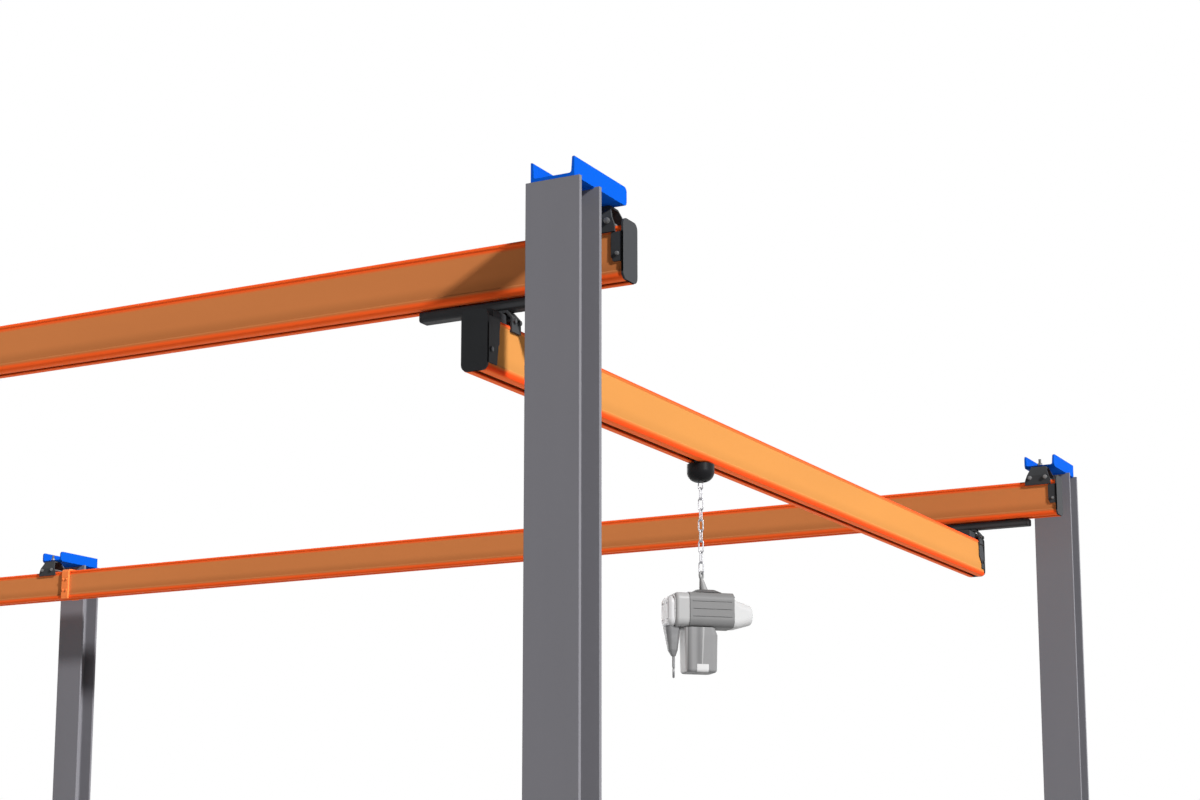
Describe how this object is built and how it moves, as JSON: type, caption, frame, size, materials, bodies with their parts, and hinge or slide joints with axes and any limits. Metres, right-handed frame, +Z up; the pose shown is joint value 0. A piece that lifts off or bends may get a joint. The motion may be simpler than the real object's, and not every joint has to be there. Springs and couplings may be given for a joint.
{
  "type": "light bridge crane",
  "caption": "Free-standing light bridge crane: steel columns with cantilever brackets carry two C-profile tracks, under which a bridge girder travels with a chain-hung electric hoist.",
  "frame": {"origin": "on the floor, at the middle of the columns' footprint", "axes": "+X along the tracks towards the end where the bridge is parked, +Y along the bridge, +Z up"},
  "size_m": [14.94, 6.21, 4.053],
  "materials": {
    "column_grey": "satin",
    "bracket_blue": "satin",
    "track_orange": "satin",
    "clamp_black": "matt",
    "wheel_plastic": "matt",
    "dome_black": "satin",
    "chain_steel": "zinc plated",
    "housing_grey": "cast, painted",
    "cover_light": "satin",
    "box_grey": "matt",
    "hook_steel": "forged"
  },
  "bodies": {
    "frame": {"bracket_front_left": "bracket_blue", "bracket_front_middle": "bracket_blue", "bracket_front_right": "bracket_blue", "bracket_rear_left": "bracket_blue", "bracket_rear_middle": "bracket_blue", "bracket_rear_right": "bracket_blue", "column_feet_front": "column_grey", "column_feet_rear": "column_grey", "column_front_left": "column_grey", "column_front_middle": "column_grey", "column_front_right": "column_grey", "column_rear_left": "column_grey", "column_rear_middle": "column_grey", "column_rear_right": "column_grey", "track_end_stops_front": "clamp_black", "track_end_stops_rear": "clamp_black", "track_front_left": "track_orange", "track_front_right": "track_orange", "track_hangers_front": "clamp_black", "track_hangers_rear": "clamp_black", "track_rear_left": "track_orange", "track_rear_right": "track_orange", "track_splice_front": "track_orange", "track_splice_rear": "track_orange"},
    "bridge": {"bridge_end_stop_front": "clamp_black", "bridge_end_stop_rear": "clamp_black", "bridge_girder": "track_orange", "bridge_hanger_front": "clamp_black", "bridge_hanger_rear": "clamp_black", "track_trolleys_front": "clamp_black", "track_trolleys_rear": "clamp_black", "track_wheels_front": "wheel_plastic", "track_wheels_rear": "wheel_plastic", "truck_bar_front": "clamp_black", "truck_bar_plugs": "wheel_plastic", "truck_bar_rear": "clamp_black"},
    "trolley": {"hoist_trolley": "clamp_black", "hoist_trolley_dome": "dome_black", "hoist_trolley_wheels": "wheel_plastic"},
    "chain": {"suspension_chain": "chain_steel"},
    "hoist": {"hoist_chain_box": "box_grey", "hoist_eye": "hook_steel", "hoist_gear_case": "cover_light", "hoist_gear_cover": "cover_light", "hoist_hook_block": "hook_steel", "hoist_housing": "housing_grey", "hoist_lid": "box_grey", "hoist_motor_cover": "cover_light"},
    "hook": {"load_hook": "hook_steel"}
  },
  "joints": [
    {"name": "bridge_travel", "type": "slide", "parent": "frame", "child": "bridge", "axis": [1, 0, 0], "range_m": [-13.96, 0.19]},
    {"name": "trolley_travel", "type": "slide", "parent": "bridge", "child": "trolley", "axis": [0, 1, 0], "range_m": [-1.585, 3.535]},
    {"name": "chain_swing", "type": "hinge", "parent": "trolley", "child": "chain", "pos_m": [6.885, -0.975, 3.326], "axis": [0, 1, 0], "range_deg": [-15, 15]},
    {"name": "hoist_swing", "type": "hinge", "parent": "chain", "child": "hoist", "pos_m": [6.885, -0.975, 2.9167], "axis": [1, 0, 0], "range_deg": [-10, 10]},
    {"name": "hook_swivel", "type": "hinge", "parent": "hoist", "child": "hook", "pos_m": [6.79436, -1.06253, 2.4934], "axis": [0, 0, 1], "continuous": true}
  ]
}
